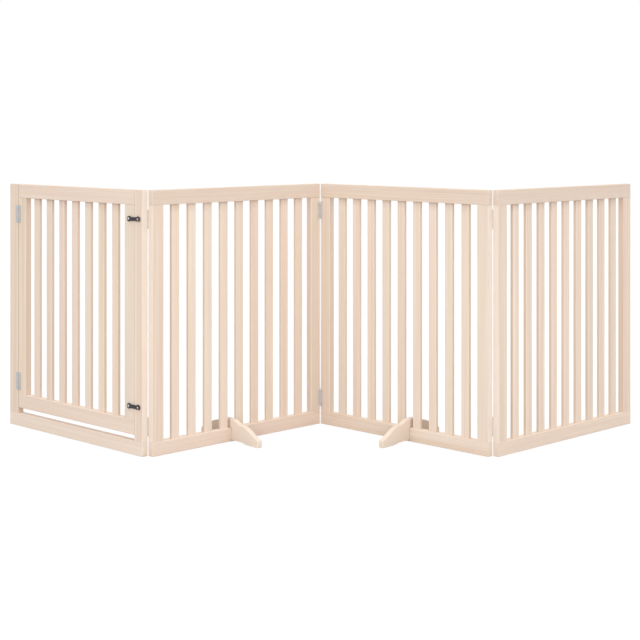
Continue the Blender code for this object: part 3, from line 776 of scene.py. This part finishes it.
def leaf_mesh(name, side, far, height, own_spans):
    """A hinge leaf with rounded free corners, two countersunk holes and rolled knuckles."""
    near, corner = KNUCKLE_OUTER + KNUCKLE_GAP, LEAF_CORNER
    half = height / 2
    outline = [(near, -half)] + arc((far - corner, -half + corner), corner, -90, 0, steps=6)
    outline += arc((far - corner, half - corner), corner, 0, 90, steps=6) + [(near, half)]
    # The outline lies in XZ: prism() extrudes along its own Z, which is turned to face -Y.
    plate = prism(outline, -LEAF_BACK, -LEAF_FRONT)
    bmesh.ops.rotate(plate, verts=plate.verts, matrix=Matrix.Rotation(math.radians(90), 3, "X"))
    knuckles = [mirrored(prism(rolled_outline(), *span), side) for span in own_spans]
    depth = LEAF_BACK - LEAF_FRONT
    low = -depth - OVERCUT
    sink = HINGE_SCREW_RADIUS + SINK_FIT
    profile = [(0.0, low), (HINGE_HOLE, low), (HINGE_HOLE, -depth * 0.7)]
    profile += [(sink, 0.00001), (sink, OVERCUT), (0.0, OVERCUT)]
    holes = []
    for z in (-HINGE_SCREW_Z, HINGE_SCREW_Z):
        hole = lathe(profile, 28)
        bmesh.ops.rotate(hole, verts=hole.verts, matrix=Matrix.Rotation(math.radians(90), 3, "X"))
        bmesh.ops.translate(hole, verts=hole.verts, vec=(side * screw_place(far), LEAF_FRONT, z))
        holes.append(hole)
    mesh = solid(name, mirrored(plate, side), joined=knuckles, cut=holes, bevel=LEAF_EASE)
    write_grain(mesh)
    return mesh


def cross_recess(width, arm, depth, top):
    """Two crossed blades that cut a screw's recess, narrowing as they go down."""
    x, y = width / 2, arm / 2
    blades = []
    for turn in (0, 90):
        bm = prism([(-x, -y), (x, -y), (x, y), (-x, y)], top - depth, top + OVERCUT)
        for vert in bm.verts:
            if vert.co.z < top:
                vert.co.x *= RECESS_TAPER[0]
                vert.co.y *= RECESS_TAPER[1]
        bmesh.ops.rotate(bm, verts=bm.verts, matrix=Matrix.Rotation(math.radians(turn), 3, "Z"))
        blades.append(bm)
    return blades


def dome_points(radius, base, height, steps=7):
    """(radius, height) pairs up a quarter of an ellipse, without its ends."""
    turns = [math.pi / 2 * i / steps for i in range(1, steps)]
    return [(radius * math.cos(turn), base + height * math.sin(turn)) for turn in turns]


def screw_mesh(name, radius, dome, below, neck):
    """A cross-head screw along +Z, its rim just above z = 0 and its dome on that."""
    profile = [(0.0, -below), (neck, -below), (neck, -radius * 0.55)]
    profile += [(radius, -2 * SCREW_RIM), (radius, SCREW_RIM)]
    profile += dome_points(radius, SCREW_RIM, dome)
    profile.append((0.0, SCREW_RIM + dome))
    cuts = cross_recess(radius * 0.30, radius * 1.15, radius * 0.5, dome)
    mesh = solid(name, lathe(profile, 32), cut=cuts)
    write_grain(mesh)
    return mesh


def pin_mesh(height):
    half = height / 2
    ball = [(PIN_RADIUS, half), (PIN_HEAD, half), (PIN_HEAD, half + 0.0002),
            (PIN_HEAD * 0.75, half + 0.0005), (0.0, half + 0.0006)]
    profile = [(r, -z) for r, z in reversed(ball)] + ball
    mesh = mesh_from(lathe(profile, 24), "hinge_pin", 50)
    write_grain(mesh)
    return mesh


HINGE_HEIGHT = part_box("hinge_23_upper_leaf")[1].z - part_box("hinge_23_upper_leaf")[0].z
LOWER, MIDDLE, UPPER = knuckle_spans(HINGE_HEIGHT)
PIN = pin_mesh(HINGE_HEIGHT)
HINGE_SCREW = screw_mesh(
    "hinge_screw", HINGE_SCREW_RADIUS, HINGE_SCREW_DOME, HINGE_SCREW_LENGTH, HINGE_SCREW_NECK
)
FACE_OUT = Matrix.Rotation(math.radians(90), 4, "X")  # a screw's +Z to -Y


def hinge(name, joint, plate, pin_side, bored_side):
    """One hinge: two leaves, its pin and four screws. Each side is (body, angle)."""
    low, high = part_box(f"{name}_leaf")
    x, y, _ = JOINTS[joint]["pos_m"]
    middle = Vector((x, y, (low.z + high.z) / 2))
    for leaf, spans, side, (body, angle) in (
        ("pin_leaf", (LOWER, UPPER), 1, pin_side),
        ("leaf", (MIDDLE,), -1, bored_side),
    ):
        turn = Matrix.Translation(middle) @ Matrix.Rotation(angle, 4, "Z")
        back = turn.inverted()
        node = f"{name}_{leaf}"
        far = max(side * (back @ Vector(point)).x for point in points_of(node))
        mesh = leaf_mesh(f"{node}_plate", side, far, HINGE_HEIGHT, spans)
        add_piece(f"{node}_plate", mesh, turn, body, plate, [node])
        if leaf == "pin_leaf":
            add_piece(f"{name}_pin", PIN.copy(), turn, body, plate)
        for level, z in (("top", HINGE_SCREW_Z), ("low", -HINGE_SCREW_Z)):
            spot = Matrix.Translation((side * screw_place(far), LEAF_FRONT, z)) @ FACE_OUT
            spin = Matrix.Rotation(random.uniform(0, math.pi / 2), 4, "Z")
            screw = f"{node}_screw_{level}"
            add_piece(screw, HINGE_SCREW.copy(), turn @ spot @ spin, body, STEEL)


# Latches ----------------------------------------------------------------


def latch_outline(span, ring):
    """A bar with a ring at each end; the far ring is a hook, open below."""
    hole = LATCH_HOLE
    neck = math.degrees(math.asin(LATCH_BAR / 2 / ring))
    mouth_left = 270 - math.degrees(math.asin((hole + LATCH_FLARE) / ring))
    mouth_right = 270 + math.degrees(math.asin(hole / ring))
    catch = (span, 0.0)
    points = arc((0.0, 0.0), ring, neck, 360 - neck, steps=40)
    points += arc(catch, ring, 180 + neck, mouth_left, steps=4)
    points += arc(catch, hole, 180, 0, steps=16)
    points += arc(catch, ring, mouth_right, 540 - neck, steps=34)
    return points


def shank_points(depth, shoulder, radius):
    """(radius, height) pairs from a shank's point in the wood to the shoulder of what it carries."""
    points = [(0.0, -depth), (SHANK_RADIUS, -depth + SHANK_POINT), (SHANK_RADIUS, -shoulder)]
    return points + [(radius, -shoulder)]


def headed_pin(name, out, radius, depth, gap):
    """The screw that a latch turns on, z = 0 being the latch's back face."""
    neck = LATCH_HOLE - PIVOT_PLAY
    seat = gap + HEAD_GAP
    rise = out - seat
    side = rise * 0.3
    profile = shank_points(depth, PIVOT_SHOULDER, neck)
    profile += [(neck, seat), (radius - HEAD_EASE, seat), (radius, seat + HEAD_EASE)]
    profile.append((radius, seat + side))
    profile += dome_points(radius, seat + side, rise - side)
    profile.append((0.0, out))
    cuts = cross_recess(radius * 0.26, radius * 1.1, rise * 0.8, out)
    mesh = solid(name, lathe(profile, TURNED_STEPS), cut=cuts)
    write_grain(mesh)
    return mesh


def plain_stud(name, out, radius, depth):
    """The stud that the hook drops over: turned, with a small flat on its crown."""
    profile = shank_points(depth, STUD_SHOULDER, radius)
    profile += [(radius, out - 0.0008), (radius * 0.96, out - 0.00045), (radius * 0.82, out - 0.00015)]
    profile += [(radius * 0.62, out), (0.0, out)]
    mesh = mesh_from(lathe(profile, TURNED_STEPS), name, 50)
    write_grain(mesh)
    return mesh


def latch(level):
    """The bar with its pivot screw, on the door's front, and the stud on the frame's post."""
    angle = ANGLES["door"]
    low, high = turned_box(f"latch_{level}_bar", angle)
    front, back = low.y, high.y
    screw_low, screw_high = turned_box(f"latch_{level}_pivot_screw", angle)
    stud_low, stud_high = turned_box(f"latch_{level}_catch_stud", angle)
    pivot = Vector(((screw_low.x + screw_high.x) / 2, back, (screw_low.z + screw_high.z) / 2))
    catch = Vector(((stud_low.x + stud_high.x) / 2, back, pivot.z))
    at_pivot = matrix_at(pivot, angle, FACE_OUT)
    at_catch = matrix_at(catch, angle, FACE_OUT)
    name = f"latch_{level}_bar"
    top = back - front + OVERCUT
    hole = lathe([(0.0, -OVERCUT), (LATCH_HOLE, -OVERCUT), (LATCH_HOLE, top), (0.0, top)], 32)
    bar = prism(latch_outline(catch.x - pivot.x, pivot.x - low.x), 0.0, back - front)
    mesh = solid(name, bar, cut=[hole], bevel=LATCH_EDGE, segments=3, sharp=60)
    write_grain(mesh)
    add_piece(f"{name}_forging", mesh, at_pivot, f"latch_{level}", ENAMEL, [name])
    name = f"latch_{level}_pivot_screw"
    mesh = headed_pin(name, back - screw_low.y, PIVOT_HEAD, screw_high.y - back, back - front)
    add_piece(f"{name}_steel", mesh, at_pivot, "door", STEEL, [name])
    name = f"latch_{level}_catch_stud"
    mesh = plain_stud(name, back - stud_low.y, (stud_high.x - stud_low.x) / 2, stud_high.y - back)
    add_piece(f"{name}_steel", mesh, at_catch, "door_frame", STEEL, [name])


# The gate ---------------------------------------------------------------

for panel in ("panel_2", "panel_3", "panel_4"):
    fixed_panel(panel)
door_panel()
foot("foot_left", "panel_2")
foot("foot_right", "panel_3")

# Where a hinge leaf goes: on a body's front, or on its back, which turns it half round.
on_front = {body: (body, angle) for body, angle in ANGLES.items()}
on_back = {body: (body, angle + math.pi) for body, angle in ANGLES.items()}
for level in ("upper", "lower"):
    hinge(f"hinge_12_{level}", "fold_12", CORNER_ZINC, on_back["door_frame"], on_back["panel_2"])
    hinge(f"hinge_23_{level}", "fold_23", FOLD_ZINC, on_front["panel_3"], on_front["panel_2"])
    hinge(f"hinge_34_{level}", "fold_34", CORNER_ZINC, on_back["panel_3"], on_back["panel_4"])
    hinge(f"door_hinge_{level}", "door_swing", DOOR_ZINC, on_front["door"], on_front["door_frame"])
    latch(level)


# Stage ------------------------------------------------------------------

FLOOR_GLOW = 0.95  # seen by the camera only, so it doesn't light the boards
FLOOR_HALF = 30.0
FLOOR_DROP = 0.0005
FLOOR_TONES = ((0.56, 0.56, 0.56, 1.0), (0.59, 0.59, 0.59, 1.0))
FLOOR_SEEN = (0.07, 0.07, 0.07, 1.0)
WHITE = (1.0, 1.0, 1.0, 1.0)
WORLD_FRONT = 1.06
WORLD_BACK = 0.82
WORLD_TOP = 0.22  # how much brighter it is from above than level, and darker from below
SPOT_SIZE = 0.6
CAMERA_DISTANCE = 4.018  # in front of the middle hinges' pin
CAMERA_HEIGHT = 0.868
CAMERA_LENS = 77.46
CAMERA_SENSOR = 36.0
CAMERA_SHIFT = (-0.0005, -0.3031)


def floor():
    """A white floor without an edge in sight."""
    mesh = bpy.data.meshes.new("floor")
    bm = bmesh.new()
    bmesh.ops.create_grid(bm, x_segments=1, y_segments=1, size=FLOOR_HALF)
    bm.to_mesh(mesh)
    bm.free()
    n = Nodes("studio_floor")
    cloud = n.noise(n.add("ShaderNodeTexCoord").outputs["Object"], 0.4, 2.0)
    seen = n.add("ShaderNodeLightPath").outputs["Is Camera Ray"]
    colour = n.mix(seen, n.mix(cloud, *FLOOR_TONES), FLOOR_SEEN)
    n.feed(n.shader.inputs["Emission Strength"], n.maths("MULTIPLY", seen, FLOOR_GLOW))
    n.shader.inputs["Emission Color"].default_value = WHITE
    mesh.materials.append(n.finish(colour, 0.9, None, Specular_IOR_Level=0.0))
    obj = linked("floor", mesh)
    obj.location.z = -FLOOR_DROP


def lamp(name, kind, location, target, watts):
    data = bpy.data.lights.new(name, kind)
    data.energy = watts
    obj = linked(name, data)
    obj.location = location
    aim = Vector(target) - Vector(location)
    obj.rotation_euler = aim.to_track_quat("-Z", "Y").to_euler()
    obj.visible_camera = False
    return data


def softbox(name, location, target, size, watts):
    data = lamp(name, "AREA", location, target, watts)
    data.shape = "RECTANGLE"
    data.size, data.size_y = size


def soft_spot(name, location, target, beam, watts):
    """A spot lamp with a wholly soft edge. Its beam is in degrees."""
    data = lamp(name, "SPOT", location, target, watts)
    data.spot_size = math.radians(beam)
    data.spot_blend = 1.0
    data.shadow_soft_size = SPOT_SIZE


def studio_world():
    """A white backdrop. As a light it is strong from above and in front, and weaker from behind."""
    world = bpy.data.worlds.new("studio")
    world.use_nodes = True
    tree = world.node_tree

    def add(kind, *feeds):
        node = tree.nodes.new(kind)
        for socket, value in feeds:
            if isinstance(value, bpy.types.NodeSocket):
                tree.links.new(value, node.inputs[socket])
            else:
                node.inputs[socket].default_value = value
        return node

    def sweep(value, low, high):
        """From low to high as the value goes from -1 to 1."""
        ends = ("From Min", -1.0), ("From Max", 1.0), ("To Min", low), ("To Max", high)
        return add("ShaderNodeMapRange", ("Value", value), *ends).outputs["Result"]

    where = add("ShaderNodeTexCoord").outputs["Generated"]
    split = add("ShaderNodeSeparateXYZ", (0, where))
    depth = sweep(split.outputs["Y"], WORLD_FRONT, WORLD_BACK)
    height = sweep(split.outputs["Z"], -WORLD_TOP, WORLD_TOP)
    total = add("ShaderNodeMath", (0, depth), (1, height))
    light = add("ShaderNodeBackground", ("Color", WHITE), ("Strength", total.outputs[0]))
    backdrop = add("ShaderNodeBackground", ("Color", WHITE))
    seen = add("ShaderNodeLightPath").outputs["Is Camera Ray"]
    choice = add("ShaderNodeMixShader", (0, seen), (1, light.outputs[0]), (2, backdrop.outputs[0]))
    tree.links.new(choice.outputs[0], tree.nodes["World Output"].inputs["Surface"])
    bpy.context.scene.world = world


def studio_camera():
    """Aims level along +Y, straight at the middle hinges, and is shifted down to frame the gate."""
    data = bpy.data.cameras.new("camera")
    data.lens = CAMERA_LENS
    data.sensor_width = CAMERA_SENSOR
    data.shift_x, data.shift_y = CAMERA_SHIFT
    obj = linked("camera", data)
    pin_x, pin_y, _ = JOINTS["fold_23"]["pos_m"]
    obj.location = (pin_x, pin_y - CAMERA_DISTANCE, CAMERA_HEIGHT)
    obj.rotation_euler = (math.radians(90), 0.0, 0.0)
    bpy.context.scene.camera = obj


floor()
softbox("key", (-0.1, -4.7, 1.1), target=(0.0, 0.0, 0.3), size=(3.0, 2.0), watts=26.0)
softbox("overhead", (0.0, -0.6, 3.4), target=(0.0, 0.0, 0.3), size=(4.0, 2.0), watts=26.0)
soft_spot("middle", (0.0, -4.5, 0.7), target=(0.0, 0.2, 0.30), beam=9.0, watts=420.0)
soft_spot("right", (1.7, -4.3, 0.9), target=(0.92, 0.12, 0.34), beam=10.0, watts=260.0)
soft_spot("left", (-1.7, -4.3, 0.9), target=(-0.80, 0.05, 0.30), beam=11.0, watts=150.0)
studio_world()
studio_camera()
bpy.context.scene.view_settings.view_transform = "Standard"
